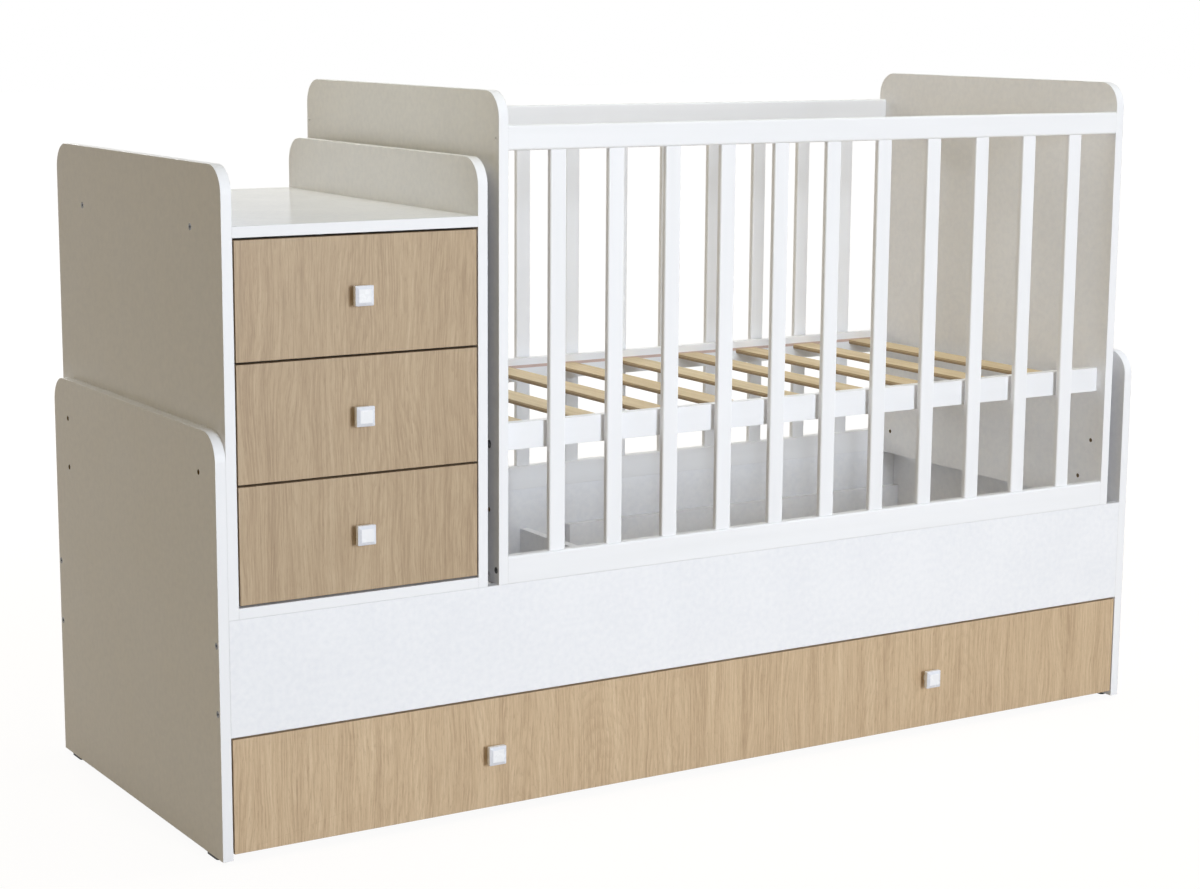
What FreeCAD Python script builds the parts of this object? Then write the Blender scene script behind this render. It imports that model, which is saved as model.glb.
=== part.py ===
import FreeCAD, Part
import math
import os
from FreeCAD import Vector

os.makedirs("parts", exist_ok=True)

# Boards, plan sizes and floor, in millimetres
board = 16.0                    # thickness of the laminated boards
panel_depth = 650.0             # front-to-back size of the end panels
corner_radius = 40.0            # rounded upper corners of the end panels
chest_width = 419.0             # drawer chest over its two sides
chest_gap = 19.0                # air between chest and crib
crib_length = 1200.0            # clear length inside the crib
crib_gap = 30.0                 # air between crib and right foot panel
glide_height = 5.0
overrun = 2.0                   # how far a cutting tool passes a face
screw_fit = 0.05                # radial room round a screw
pilot_spare = 2.0               # bored depth left beyond a screw's tip

# Bed frame: two low foot panels and two aprons
foot_height = 622.0
apron_height = 172.0
low_front_floor_gap = 9.0       # long drawer front above the foot panels' lower edge
low_front_height = 170.0
low_front_top_gap = 3.0
low_front_end_gap = 2.5
apron_screw_spacing = 100.0
spare_hole_radius = 4.0
spare_hole_inset = 60.0         # from the front or back edge
spare_hole_height = 560.0       # above the foot panels' lower edge
spare_hole_drop = 79.0          # second rear hole under the first
batten_height = 60.0
batten_drop = 73.0              # battens' top below the aprons' top
batten_inner_gap = 79.0         # from the cross board to the battens
batten_outer_screw = 60.0       # from the foot panel
batten_inner_screw = 225.0      # from the inner end
glide_length = 40.0
glide_width = 12.0
glide_inset = 46.0              # glide's middle from the panel's front or back edge
glide_round_share = 0.45        # corner radius of a glide as a share of its width
stop_size = 14.0                # square section of the long drawer's stop blocks
stop_height = 60.0
stop_screw_spacing = 36.0

# Crib ends, slatted sides and slatted base
side_height = 686.0
crib_end_rise = 50.0            # crib ends above the slatted sides
side_thickness = 18.0
top_rail_height = 37.0
bottom_rail_height = 42.0
rail_edge_radius = 4.0
slat_count = 11
slat_width = 28.0
slat_thickness = 11.0
slat_edge_radius = 3.0
tenon_length = 12.0
tenon_width = 20.0
tenon_thickness = 7.0
tenon_fit = 0.1
base_inset = 22.0               # base rails from the front and back edges of the crib ends
base_rail_height = 41.0
base_bolt_rise = 11.0           # bolt axis above the rail's lower edge
base_step = 100.0               # between the heights of the base
base_step_count = 3             # heights bored in the crib ends
base_raise_count = 2            # steps the base stands above the lowest height
link_hole_inset = 59.0          # spare bolt holes near the foot of each crib end
link_hole_height = 43.0
bed_slat_count = 9
bed_slat_width = 48.0
bed_slat_thickness = 8.0
bed_slat_drop = 14.0            # slats' top below the rails' top
bed_slat_edge_radius = 2.5
bed_tenon_length = 10.0         # slat's tenon inside the rail
bed_tenon_width = 38.0
bed_tenon_thickness = 5.0

# Drawer chest with the changing top
tray_rim_height = 84.0          # chest sides above the changing top
front_height = 170.0
front_gap = 3.5                 # above, between and below the drawer fronts
front_end_gap = 2.5
drawer_count = 3
chest_screw_inset = 110.0
back_panel_thickness = 3.0
back_panel_inset = 12.0         # from the rear edge of the chest
back_panel_tongue = 8.0
groove_fit = 0.2

# Drawer boxes and their guide strips
drawer_board = 12.0
drawer_box_depth = 500.0
drawer_side_height = 120.0
drawer_side_rise = 22.0         # side's lower edge above the front's lower edge
drawer_side_gap = 1.0           # between drawer side and chest side
drawer_bottom_thickness = 3.0
drawer_bottom_rise = 10.0       # bottom panel above the side's lower edge
drawer_bottom_tongue = 6.0
guide_height = 14.0
guide_rise = 66.0               # guide's middle above the side's lower edge
guide_engagement = 5.0          # guide inside the drawer side
guide_run = 0.3                 # running room between guide and groove
guide_length = 480.0
guide_nose_radius = 5.0
guide_screw_inset = 60.0
box_screw_spacing = 70.0
tongue_length = 5.0             # tongue of a drawer side inside its front
tongue_thickness = 6.0

# Long drawer on castors
low_board = 16.0
low_box_depth = 570.0
low_side_inset = 18.0           # drawer side from the end of the front
low_side_height = 120.0
low_side_rise = 36.0            # side's lower edge above the front's lower edge
low_bottom_thickness = 4.0
low_bottom_rise = 10.0
low_bottom_tongue = 7.0
low_divider_web = 4.0           # left between the two bottoms inside the divider
bearer_width = 90.0
bearer_thickness = 16.0
wheel_radius = 18.0
wheel_width = 14.0
wheel_edge_radius = 2.5
wheel_web_depth = 3.0           # dished sides of the wheel
wheel_rim_wall = 5.0
hub_radius = 6.5
hub_play = 0.3                  # between hub and fork cheek
axle_radius = 3.0
axle_run = 0.05                 # radial room of the wheel on its axle
axle_head_radius = 4.6
axle_head_height = 1.2
fork_sheet = 2.0
fork_plate_length = 58.0
fork_cheek_radius = 9.0
fork_shoulder = 15.0            # half length of the cheek where it leaves the plate
fork_screw_inset = 8.0
castor_inset = 95.0             # axle from the front and rear ends of the box

# Square knobs
knob_size = 29.0
knob_projection = 20.0
knob_head_height = 9.0
knob_border_width = 5.0         # slope round the face
knob_border_depth = 2.6
knob_corner_round = 1.4
knob_foot_radius = 8.0
knob_waist_radius = 5.8
knob_flare_radius = 10.5
knob_screw_radius = 2.0
knob_screw_bite = 11.0
knob_screw_head_radius = 4.0
knob_screw_head_height = 2.2

# Fasteners and brackets
confirmat_head_radius = 5.0
confirmat_head_height = 3.5
confirmat_radius = 3.5
confirmat_length = 50.0
socket_radius = 2.3
socket_depth = 2.0
wood_head_radius = 3.8
wood_head_height = 2.4
wood_radius = 1.9
batten_screw_length = 28.0
box_screw_length = 40.0
guide_screw_length = 14.0
stop_screw_length = 26.0
bracket_screw_length = 13.0
pan_head_radius = 3.6
pan_head_height = 2.0
bracket_leg = 30.0
bracket_width = 14.0
bracket_sheet = 2.0
bracket_bend = 2.5              # inner radius of the bend
bracket_hole_inset = 9.0        # from the leg's end
bolt_radius = 3.0
bolt_head_radius = 6.5
bolt_head_height = 3.0
bolt_hole_radius = 3.5
bolt_tail = 4.0                 # bolt beyond the barrel nut's axis side
barrel_radius = 5.0
barrel_length = 12.0
barrel_inset = 22.0             # barrel nut's axis from the rail's end
tip_share = 0.8                 # length of a screw's point in screw radii
crown_share = 0.6               # flat crown of a domed head as a share of its radius

# Levels and stations that follow from the sizes above
inner_length = chest_width + chest_gap + crib_length + 2 * board + crib_gap
x_left = -inner_length / 2
x_right = inner_length / 2
x_chest_right = x_left + chest_width
x_crib_left = x_chest_right + chest_gap
x_inside_left = x_crib_left + board
x_inside_right = x_inside_left + crib_length
y_front = -(panel_depth - knob_projection) / 2
y_back = y_front + panel_depth
y_middle = (y_front + y_back) / 2
z_foot = glide_height
z_low_front = z_foot + low_front_floor_gap
z_apron = z_low_front + low_front_height + low_front_top_gap
z_deck = z_apron + apron_height
z_side_top = z_deck + side_height
z_batten_top = z_deck - batten_drop
chest_opening = drawer_count * front_height + (drawer_count + 1) * front_gap
z_opening = z_deck + board
z_tray_low = z_opening + chest_opening
z_tray = z_tray_low + board
chest_height = z_tray + tray_rim_height - z_deck
ALONG_X = Vector(1, 0, 0)
ALONG_Y = Vector(0, 1, 0)
ALONG_Z = Vector(0, 0, 1)


def save(node, *solids):
    shape = solids[0] if len(solids) == 1 else Part.makeCompound(list(solids))
    shape.exportStep("parts/" + node + ".step")


def run(start, size):
    return (start, start + size)


def around(middle, size):
    return (middle - size / 2, middle + size / 2)


def grown(span, room):
    return (span[0] - room, span[1] + room)


def inward(face, sense, size):
    """The span from a face into a board that lies on the side given by sense."""
    return sorted((face, face + sense * size))


def block(x, y, z):
    return Part.makeBox(x[1] - x[0], y[1] - y[0], z[1] - z[0], Vector(x[0], y[0], z[0]))


def outline(points):
    return Part.Face(Part.makePolygon(points + points[:1]))


def turned(profile, origin, direction):
    """Solid of revolution from (distance along the axis, radius) pairs."""
    face = outline([Vector(along, 0, radius) for along, radius in profile])
    solid = face.revolve(Vector(0, 0, 0), ALONG_X, 360)
    solid.Placement = FreeCAD.Placement(origin, FreeCAD.Rotation(ALONG_X, direction))
    return solid


def rod(radius, start, direction, length):
    return Part.makeCylinder(radius, length, start, direction)


def soft_edges(solid, radius, along):
    """Round the long edges that run parallel to one axis."""
    picked = []
    for edge in solid.Edges:
        tangent = edge.tangentAt(edge.FirstParameter)
        if abs(tangent.dot(along)) > math.cos(math.radians(1)):
            picked.append(edge)
    return solid.makeFillet(radius, picked)


def sunk_screw(head_radius, head_height, radius, length, origin, direction, socket=0.0):
    """Flush countersunk screw with an optional hexagon socket, and the hole that takes it."""
    tip = tip_share * radius
    body = turned([(0, 0), (0, head_radius), (head_height, radius), (length - tip, radius),
                   (length, 0)], origin, direction)
    hole = turned([(-overrun, 0), (-overrun, head_radius + screw_fit), (0, head_radius + screw_fit),
                   (head_height, radius + screw_fit), (length + pilot_spare, radius + screw_fit),
                   (length + pilot_spare, 0)], origin, direction)
    if socket:
        turns = [math.radians(60 * k) for k in range(6)]
        corners = [Vector(0, socket * math.cos(turn), socket * math.sin(turn)) for turn in turns]
        key = outline(corners).extrude(Vector(socket_depth, 0, 0))
        key.Placement = FreeCAD.Placement(origin, FreeCAD.Rotation(ALONG_X, direction))
        body = body.cut(key)
    return body, hole


def domed_screw(head_radius, head_height, radius, length, origin, direction):
    """Screw with a low domed head that seats on the surface, and its hole."""
    tip = tip_share * radius
    body = turned([(-head_height, 0), (-head_height, crown_share * head_radius), (0, head_radius),
                   (0, radius), (length - tip, radius), (length, 0)], origin, direction)
    hole = turned([(-overrun, 0), (-overrun, radius + screw_fit),
                   (length + pilot_spare, radius + screw_fit), (length + pilot_spare, 0)], origin, direction)
    return body, hole


def wood_screw(length, origin, direction):
    return sunk_screw(wood_head_radius, wood_head_height, wood_radius, length, origin, direction)


def pan_screw(origin, direction):
    return domed_screw(pan_head_radius, pan_head_height, wood_radius, bracket_screw_length,
                       origin, direction)


def confirmat(x_face, sense, y, z):
    return sunk_screw(confirmat_head_radius, confirmat_head_height, confirmat_radius, confirmat_length,
                      Vector(x_face, y, z), Vector(sense, 0, 0), socket_radius)


def line(start, end):
    return Part.LineSegment(start, end).toShape()


def arc(start, middle, end):
    return Part.Arc(start, middle, end).toShape()


def end_panel(x_start, z_start, height):
    """Upright board across the depth with both upper corners rounded."""
    z_top = z_start + height
    pull = corner_radius * (1 - math.cos(math.radians(45)))
    at = lambda y, z: Vector(x_start, y, z)
    front_low = at(y_front, z_start)
    back_low = at(y_back, z_start)
    back_side = at(y_back, z_top - corner_radius)
    back_top = at(y_back - corner_radius, z_top)
    front_top = at(y_front + corner_radius, z_top)
    front_side = at(y_front, z_top - corner_radius)
    edges = [line(front_low, back_low), line(back_low, back_side),
             arc(back_side, at(y_back - pull, z_top - pull), back_top), line(back_top, front_top),
             arc(front_top, at(y_front + pull, z_top - pull), front_side), line(front_side, front_low)]
    return Part.Face(Part.Wire(edges)).extrude(Vector(board, 0, 0))


def both_edges(inset):
    """The two places at one distance from the front and the back edge."""
    return (y_front + inset, y_back - inset)


# Confirmat screws of the bed frame, the chest and the slatted sides
def joint_screws(x_faces, places):
    """Screws driven through a pair of end boards, outwards faces first left then right."""
    made = []
    for x_face, sense in zip(x_faces, (1, -1)):
        made.append([confirmat(x_face, sense, y, z) for y, z in places])
    return made


apron_middle = (z_apron + z_deck) / 2
apron_places = [(y, apron_middle + side * apron_screw_spacing / 2)
                for y in both_edges(board / 2) for side in (-1, 1)]
apron_fix = joint_screws((x_left - board, x_right + board), apron_places)
chest_places = [(y, z) for y in both_edges(chest_screw_inset)
                for z in (z_deck + board / 2, z_tray - board / 2)]
chest_fix = joint_screws((x_left, x_chest_right), chest_places)
rail_middles = (z_deck + bottom_rail_height / 2, z_side_top - top_rail_height / 2)
side_places = [(y, z) for y in both_edges(side_thickness / 2) for z in rail_middles]
side_fix = joint_screws((x_crib_left, x_inside_right + board), side_places)
confirmats = [pair[0] for group in (apron_fix, chest_fix, side_fix) for end in group for pair in end]


def holes(group):
    return [pair[1] for end in group for pair in end]


def bores(radius, x_start, places):
    """Holes right through an end board at (depth, height) places."""
    return [rod(radius, Vector(x_start - overrun, y, z), ALONG_X, board + 2 * overrun) for y, z in places]


# Stop blocks on the foot panels behind the ends of the long drawer front
frame_screws = []
stops = []
stop_bores = []
y_low_box = y_front + board
z_stop = z_low_front + low_side_rise
for x_face, sense in ((x_left, 1), (x_right, -1)):
    stop = block(inward(x_face, sense, stop_size), run(y_low_box, stop_size), run(z_stop, stop_height))
    for z in around(z_stop + stop_height / 2, stop_screw_spacing):
        start = Vector(x_face + sense * stop_size, y_low_box + stop_size / 2, z)
        body, hole = wood_screw(stop_screw_length, start, Vector(-sense, 0, 0))
        frame_screws.append(body)
        stop_bores.append(hole)
    stops.append(stop.cut(stop_bores))
save("low_drawer_stops", *stops)

# Foot panels: low end boards that carry the frame, with open bolt holes for the later bed
z_spare = z_foot + spare_hole_height
spare_places = [(y_front + spare_hole_inset, z_spare), (y_back - spare_hole_inset, z_spare),
                (y_back - spare_hole_inset, z_spare - spare_hole_drop)]
for node, x_start, end in (("left_foot_panel", x_left - board, 0), ("right_foot_panel", x_right, 1)):
    panel = end_panel(x_start, z_foot, foot_height)
    fixings = [pair[1] for pair in apron_fix[end]]
    save(node, panel.cut(bores(spare_hole_radius, x_start, spare_places) + fixings + stop_bores))

# Floor glides: round-ended plastic pads under each foot panel
glides = []
for x_middle in (x_left - board / 2, x_right + board / 2):
    for y in both_edges(glide_inset):
        pad = block(around(x_middle, glide_width), around(y, glide_length), (0, z_foot))
        glides.append(soft_edges(pad, glide_width * glide_round_share, ALONG_Z))
save("floor_glides", *glides)

# Aprons, the cross board and the battens for the later bed base, with their wood screws
front_apron = block((x_left, x_right), run(y_front, board), (z_apron, z_deck))
back_apron = block((x_left, x_right), run(y_back - board, board), (z_apron, z_deck))
apron_faces = (y_front + board, y_back - board)
cross_board = block(around(0, board), apron_faces, (z_apron, z_batten_top))
batten_start = board / 2 + batten_inner_gap
battens = []
batten_holes = []
for y_face, sense in zip(apron_faces, (1, -1)):
    for side in (-1, 1):
        x_span = sorted((side * batten_start, side * x_right))
        batten = block(x_span, inward(y_face, sense, board), (z_batten_top - batten_height, z_batten_top))
        bored = []
        for x in (batten_start + batten_inner_screw, x_right - batten_outer_screw):
            start = Vector(side * x, y_face + sense * board, z_batten_top - batten_height / 2)
            body, hole = wood_screw(batten_screw_length, start, Vector(0, -sense, 0))
            frame_screws.append(body)
            bored.append(hole)
        battens.append(batten.cut(bored))
        batten_holes += bored
save("bed_battens", *battens)


# Angle brackets between the aprons and the boards that stand on them or cross between them
def bracket(corner, first, second):
    """Folded strip in the corner of two boards, a leg and a screw on each; first runs along the apron."""
    across = first.cross(second)
    at = lambda a, b: corner + first * a + second * b - across * (bracket_width / 2)
    section = outline([at(0, 0), at(bracket_leg, 0), at(bracket_leg, bracket_sheet),
                       at(bracket_sheet, bracket_sheet), at(bracket_sheet, bracket_leg), at(0, bracket_leg)])
    strip = section.extrude(across * bracket_width)
    bend = corner + (first + second) * bracket_sheet
    inside = [edge for edge in strip.Edges if edge.isInside(bend, screw_fit, True)]
    strip = strip.makeFillet(bracket_bend, inside)
    reach = bracket_leg - bracket_hole_inset
    apron_screw = pan_screw(corner + first * reach + second * bracket_sheet, second * -1)
    board_screw = pan_screw(corner + second * reach + first * bracket_sheet, first * -1)
    return strip.cut([apron_screw[1], board_screw[1]]), apron_screw, board_screw


brackets = []
board_pilots = {}
bracket_apron_holes = []
carried = (("chest_left_side", x_left + board / 2, z_deck, ALONG_Z * -1),
           ("chest_right_side", x_chest_right - board / 2, z_deck, ALONG_Z * -1),
           ("left_crib_end", x_crib_left + board / 2, z_deck, ALONG_Z * -1),
           ("right_crib_end", x_inside_right + board / 2, z_deck, ALONG_Z * -1),
           ("cross_board", board / 2, (z_apron + z_batten_top) / 2, ALONG_X))
for node, x, z, along in carried:
    board_pilots[node] = []
    for y_face, sense in zip(apron_faces, (1, -1)):
        strip, apron_screw, board_screw = bracket(Vector(x, y_face, z), along, Vector(0, sense, 0))
        brackets.append(strip)
        frame_screws += [apron_screw[0], board_screw[0]]
        bracket_apron_holes.append(apron_screw[1])
        board_pilots[node].append(board_screw[1])
save("frame_brackets", *brackets)
save("frame_wood_screws", *frame_screws)
save("cross_board", cross_board.cut(board_pilots["cross_board"]))
apron_bores = holes(apron_fix) + batten_holes + bracket_apron_holes
save("front_apron", front_apron.cut(apron_bores))
save("back_apron", back_apron.cut(apron_bores))

# Slatted base: slats with shouldered tenons in two rails
z_bolt = z_deck + base_bolt_rise + base_raise_count * base_step
z_base = z_bolt - base_bolt_rise
z_bed = z_base + base_rail_height - bed_slat_drop
z_slat = z_bed - bed_slat_thickness / 2
bolt_line = base_inset + board / 2
shoulders = both_edges(base_inset + board)
bed_pitch = crib_length / bed_slat_count
bed_slats = []
bed_mortises = []
for k in range(bed_slat_count):
    x_axis = x_inside_left + bed_pitch * (k + 1 / 2)
    body = block(around(x_axis, bed_slat_width), shoulders, around(z_slat, bed_slat_thickness))
    x_tenon = around(x_axis, bed_tenon_width)
    y_tenon = grown(shoulders, bed_tenon_length)
    z_tenon = around(z_slat, bed_tenon_thickness)
    body = soft_edges(body, bed_slat_edge_radius, ALONG_Y)
    bed_slats.append(body.fuse(block(x_tenon, y_tenon, z_tenon)).removeSplitter())
    bed_mortises.append(block(grown(x_tenon, tenon_fit), y_tenon, grown(z_tenon, tenon_fit)))
save("bed_base_slats", *bed_slats)

# Base rails and the bolts with barrel nuts that hold them between the crib ends
connectors = []
base_rails = []
for y_inner, sense in zip(shoulders, (1, -1)):
    outward = Vector(0, -sense, 0)
    rail = block((x_inside_left, x_inside_right), inward(y_inner, -sense, board),
                 run(z_base, base_rail_height))
    cuts = list(bed_mortises)
    for x_face, along in ((x_crib_left, 1), (x_inside_right + board, -1)):
        reach = board + barrel_inset + barrel_radius + bolt_tail
        start = Vector(x_face, y_inner - sense * board / 2, z_bolt)
        bolt, bolt_hole = domed_screw(bolt_head_radius, bolt_head_height, bolt_radius, reach, start,
                                      Vector(along, 0, 0))
        cuts.append(rod(bolt_hole_radius, start, Vector(along, 0, 0), reach + pilot_spare))
        middle = Vector(x_face + along * (board + barrel_inset), y_inner, z_bolt)
        nut = rod(barrel_radius, middle, outward, barrel_length)
        cuts.append(rod(barrel_radius + screw_fit, middle - outward * overrun, outward,
                        overrun + barrel_length))
        connectors += [bolt, nut.cut(bolt_hole)]
    base_rails.append(rail.cut(cuts))
save("bed_base_rails", *base_rails)
save("bed_base_connectors", *connectors)

# Crib ends with the bolt holes for three base heights
base_heights = [z_deck + base_bolt_rise + step * base_step for step in range(base_step_count)]
bolt_places = [(y, z) for z in base_heights for y in both_edges(bolt_line)]
link_places = [(y, z_deck + link_hole_height) for y in both_edges(link_hole_inset)]
for node, x_start, end in (("left_crib_end", x_crib_left, 0), ("right_crib_end", x_inside_right, 1)):
    panel = end_panel(x_start, z_deck, side_height + crib_end_rise)
    fixings = board_pilots[node] + [pair[1] for pair in side_fix[end]]
    save(node, panel.cut(fixings + bores(bolt_hole_radius, x_start, bolt_places + link_places)))

# Slatted sides: two rails and tenoned slats, front and back alike
z_bottom_rail = z_deck + bottom_rail_height
z_top_rail = z_side_top - top_rail_height
slat_gap = (crib_length - slat_count * slat_width) / (slat_count + 1)
slat_pitch = slat_width + slat_gap


def slatted_side(y_start):
    y_span = run(y_start, side_thickness)
    y_axis = y_start + side_thickness / 2
    inside = (x_inside_left, x_inside_right)
    top = soft_edges(block(inside, y_span, (z_top_rail, z_side_top)), rail_edge_radius, ALONG_X)
    bottom = block(inside, y_span, (z_deck, z_bottom_rail))
    upper = [edge for edge in bottom.Edges
             if edge.BoundBox.ZMin > z_bottom_rail - screw_fit and edge.BoundBox.XLength > side_thickness]
    bottom = bottom.makeFillet(rail_edge_radius, upper)
    slats = []
    mortises = []
    for k in range(slat_count):
        x_axis = x_inside_left + slat_gap + slat_width / 2 + k * slat_pitch
        body = block(around(x_axis, slat_width), around(y_axis, slat_thickness), (z_bottom_rail, z_top_rail))
        x_tenon = around(x_axis, tenon_width)
        y_tenon = around(y_axis, tenon_thickness)
        z_tenon = grown((z_bottom_rail, z_top_rail), tenon_length)
        body = soft_edges(body, slat_edge_radius, ALONG_Z)
        slats.append(body.fuse(block(x_tenon, y_tenon, z_tenon)).removeSplitter())
        mortises.append(block(grown(x_tenon, tenon_fit), grown(y_tenon, tenon_fit), z_tenon))
    cuts = mortises + holes(side_fix)
    return top.cut(cuts), bottom.cut(cuts), slats


for side, y_start in (("front", y_front), ("back", y_back - side_thickness)):
    top, bottom, slats = slatted_side(y_start)
    save(side + "_side_top_rail", top)
    save(side + "_side_bottom_rail", bottom)
    save(side + "_side_slats", *slats)

# Chest: two sides, bottom, changing top and a thin back panel in grooves
chest_inside = (x_left + board, x_chest_right - board)
y_panel = y_back - back_panel_inset - back_panel_thickness
x_panel = grown(chest_inside, back_panel_tongue)
z_panel = grown((z_opening, z_tray_low), back_panel_tongue)
save("chest_back_panel", block(x_panel, run(y_panel, back_panel_thickness), z_panel))
panel_groove = block(x_panel, grown(run(y_panel, back_panel_thickness), groove_fit), z_panel)
for node, z_start in (("chest_bottom", z_deck), ("changing_top", z_tray_low)):
    shelf = block(chest_inside, (y_front, y_back), run(z_start, board))
    save(node, shelf.cut([panel_groove] + holes(chest_fix)))

# Drawer guides: plastic strips screwed to the chest sides, run in grooves of the drawer sides
guide_thickness = drawer_side_gap + guide_engagement
y_guide = y_front + board + guide_run
guides = []
guide_screws = []
guide_bores = []
z_drawers = [z_opening + front_gap + k * (front_height + front_gap) for k in range(drawer_count)]
for z_drawer in z_drawers:
    z_guide = z_drawer + drawer_side_rise + guide_rise
    for x_face, sense in zip(chest_inside, (1, -1)):
        strip = block(inward(x_face, sense, guide_thickness), run(y_guide, guide_length),
                      around(z_guide, guide_height))
        nose = [edge for edge in strip.Edges
                if edge.BoundBox.XLength > guide_run and edge.BoundBox.YMin > y_guide + guide_run]
        strip = strip.makeFillet(guide_nose_radius, nose)
        bored = []
        for y in (y_guide + guide_screw_inset, y_guide + guide_length - guide_screw_inset):
            start = Vector(x_face + sense * guide_thickness, y, z_guide)
            body, hole = wood_screw(guide_screw_length, start, Vector(-sense, 0, 0))
            guide_screws.append(body)
            bored.append(hole)
        guides.append(strip.cut(bored))
        guide_bores += bored
save("drawer_guides", *guides)
save("guide_screws", *guide_screws)
save("confirmat_screws", *confirmats)
for node, x_start, end in (("chest_left_side", x_left, 0), ("chest_right_side", x_chest_right - board, 1)):
    side = end_panel(x_start, z_deck, chest_height)
    fixings = [pair[1] for pair in chest_fix[end]] + guide_bores + board_pilots[node]
    save(node, side.cut([panel_groove] + fixings))


# Square knob with a sloping border round its face, on a turned neck
def knob(x, z):
    """Knob at a front's outer face, its screw bore open to the back."""
    neck_end = -(knob_projection - knob_head_height)
    face = -knob_projection
    neck = turned([(0, 0), (0, knob_foot_radius), (-neck_end / 2, knob_waist_radius),
                   (-neck_end, knob_flare_radius), (-neck_end, 0)], Vector(0, 0, 0), Vector(0, -1, 0))
    shoulder = face + knob_border_depth
    half = knob_size / 2
    top = half - knob_border_width
    border = Part.makeWedge(-top, face, -top, -half, -half, top, shoulder, top, half, half)
    head = block(around(0, knob_size), (face, neck_end), around(0, knob_size))
    corners = [edge for edge in head.Edges if edge.BoundBox.YLength > knob_border_depth]
    head = head.makeFillet(knob_corner_round, corners)
    stem = block(around(0, knob_size), (shoulder, neck_end), around(0, knob_size))
    head = head.common(stem.fuse(border))
    bore = rod(knob_screw_radius + screw_fit, Vector(0, 0, 0), ALONG_Y * -1, knob_screw_bite + pilot_spare)
    made = head.fuse(neck).removeSplitter().cut(bore)
    made.translate(Vector(x, y_front, z))
    return made


def knob_screw(x, z):
    return domed_screw(knob_screw_head_radius, knob_screw_head_height, knob_screw_radius,
                       board + knob_screw_bite, Vector(x, y_front + board, z), ALONG_Y * -1)


# Three chest drawers: sides tongued into the front, a screwed back and a bottom in grooves
def tongued(x_span, x_tongue, y_span, z_span):
    """Drawer side with a tongue along its front end, and the groove for it in the front."""
    y_tongue = (y_span[0] - tongue_length, y_span[0])
    side = block(x_span, y_span, z_span).fuse(block(x_tongue, y_tongue, z_span)).removeSplitter()
    return side, block(grown(x_tongue, tenon_fit), y_tongue, grown(z_span, tenon_fit))


drawer_outside = grown(chest_inside, -drawer_side_gap)
drawer_inside = grown(drawer_outside, -drawer_board)
x_drawer = (chest_inside[0] + chest_inside[1]) / 2
y_box = y_front + board
y_box_end = y_box + drawer_box_depth
for k, z_drawer in enumerate(z_drawers):
    name = "drawer_%d_" % (drawer_count - k)
    z_side = z_drawer + drawer_side_rise
    z_bottom = z_side + drawer_bottom_rise
    z_guide = z_side + guide_rise
    z_knob = z_drawer + front_height / 2
    x_bottom = grown(drawer_inside, drawer_bottom_tongue)
    y_bottom = (y_box - drawer_bottom_tongue, y_box_end)
    bottom = block(x_bottom, y_bottom, run(z_bottom, drawer_bottom_thickness))
    slot = block(x_bottom, y_bottom, run(z_bottom, drawer_bottom_thickness + groove_fit))
    pin = knob_screw(x_drawer, z_knob)
    screws = [pin[0]]
    side_bores = []
    for x_face, sense in zip(drawer_outside, (1, -1)):
        for z in around(z_side + drawer_side_height / 2, box_screw_spacing):
            start = Vector(x_face, y_box_end - drawer_board / 2, z)
            body, hole = wood_screw(box_screw_length, start, Vector(sense, 0, 0))
            screws.append(body)
            side_bores.append(hole)
    sides = []
    front_cuts = [slot, pin[1]]
    for x_face, x_wall, sense in zip(drawer_outside, drawer_inside, (1, -1)):
        side, socket = tongued(inward(x_face, sense, drawer_board), inward(x_wall, -sense, tongue_thickness),
                               (y_box, y_box_end), run(z_side, drawer_side_height))
        groove_span = sorted((x_face - sense * overrun, x_face + sense * (guide_engagement + guide_run)))
        groove = block(groove_span, grown((y_box, y_box_end), overrun),
                       grown(around(z_guide, guide_height), guide_run))
        sides.append(side.cut([groove, slot] + side_bores))
        front_cuts.append(socket)
    front = block(grown(chest_inside, -front_end_gap), run(y_front, board), run(z_drawer, front_height))
    back = block(drawer_inside, (y_box_end - drawer_board, y_box_end),
                 (z_bottom + drawer_bottom_thickness, z_side + drawer_side_height))
    save(name + "front", front.cut(front_cuts))
    save(name + "sides", *sides)
    save(name + "back", back.cut(side_bores))
    save(name + "bottom", bottom)
    save(name + "knob", knob(x_drawer, z_knob))
    save(name + "screws", *screws)

# Long drawer: one front over a divided box on fixed castors
low_front_half = x_right - low_front_end_gap
low_outside = grown((-low_front_half, low_front_half), -low_side_inset)
low_inside = grown(low_outside, -low_board)
y_low_end = y_low_box + low_box_depth
z_low_side = z_low_front + low_side_rise
z_low_bottom = z_low_side + low_bottom_rise
z_low_walls = run(z_low_side, low_side_height)
low_bottoms = []
low_slots = []
for half in (-1, 1):
    x_bottom = sorted((half * low_divider_web / 2, half * (low_inside[1] + low_bottom_tongue)))
    y_bottom = (y_low_box - low_bottom_tongue, y_low_end)
    low_bottoms.append(block(x_bottom, y_bottom, run(z_low_bottom, low_bottom_thickness)))
    low_slots.append(block(x_bottom, y_bottom, run(z_low_bottom, low_bottom_thickness + groove_fit)))
save("low_drawer_bottom", *low_bottoms)
low_screws = []
low_bores = []
for z in around(z_low_side + low_side_height / 2, box_screw_spacing):
    y_screw = y_low_end - low_board / 2
    for start, direction in ((Vector(low_outside[0], y_screw, z), ALONG_X),
                             (Vector(low_outside[1], y_screw, z), ALONG_X * -1),
                             (Vector(0, y_low_end, z), ALONG_Y * -1)):
        body, hole = wood_screw(box_screw_length, start, direction)
        low_screws.append(body)
        low_bores.append(hole)
low_cuts = low_slots + low_bores
low_front_cuts = list(low_slots)
low_knobs = []
z_low_knob = z_low_front + low_front_height / 2
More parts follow.
